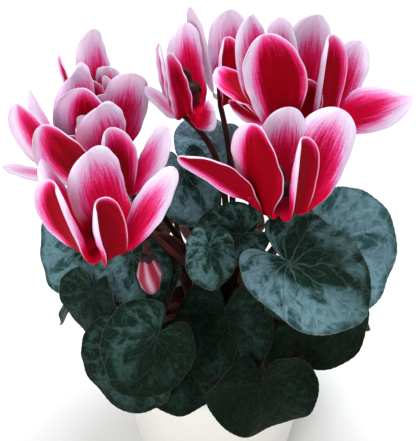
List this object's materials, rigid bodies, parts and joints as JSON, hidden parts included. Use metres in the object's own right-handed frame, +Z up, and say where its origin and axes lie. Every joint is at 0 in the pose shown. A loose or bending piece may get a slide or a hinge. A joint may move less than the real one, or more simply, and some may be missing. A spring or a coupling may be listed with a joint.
{
  "type": "potted cyclamen",
  "caption": "Florist's cyclamen in a plain round pot: swept-back crimson blooms with white edges above heart-shaped, silver-patterned leaves.",
  "frame": {"origin": "centre of the pot's flat base", "axes": "+Z up; the plant's front looks along -Y"},
  "size_m": [0.2047, 0.1864, 0.285],
  "materials": {
    "pot": "smooth off-white, slightly dull",
    "soil": "crumbly potting compost",
    "tuber": "corky brown skin",
    "leaf": "dark green with a silvery net, satin",
    "petal": "crimson with white margins, velvety",
    "stem": "dark reddish brown, satin",
    "bud": "pale pink and red, furled"
  },
  "bodies": {
    "root": {"pot": "pot", "soil": "soil", "tuber": "tuber", "leaf_01": "leaf", "leaf_02": "leaf", "leaf_03": "leaf", "leaf_04": "leaf", "leaf_05": "leaf", "leaf_06": "leaf", "leaf_07": "leaf", "leaf_08": "leaf", "leaf_09": "leaf", "leaf_10": "leaf", "leaf_11": "leaf", "leaf_12": "leaf", "leaf_13": "leaf", "leaf_14": "leaf", "leaf_15": "leaf", "leaf_16": "leaf", "leaf_17": "leaf", "leaf_18": "leaf", "leaf_19": "leaf", "leaf_20": "leaf", "leaf_21": "leaf", "leaf_22": "leaf", "leaf_23": "leaf", "leaf_24": "leaf", "leaf_25": "leaf", "leaf_26": "leaf", "bloom_01": "petal", "flower_stem_01": "stem", "bloom_02": "petal", "flower_stem_02": "stem", "bloom_03": "petal", "flower_stem_03": "stem", "bloom_04": "petal", "flower_stem_04": "stem", "bloom_05": "petal", "flower_stem_05": "stem", "bloom_06": "petal", "flower_stem_06": "stem", "bloom_07": "petal", "flower_stem_07": "stem", "bloom_08": "petal", "flower_stem_08": "stem", "bloom_09": "petal", "flower_stem_09": "stem", "bloom_10": "petal", "flower_stem_10": "stem", "bud_01": "bud", "bud_stem_01": "stem"}
  },
  "joints": []
}
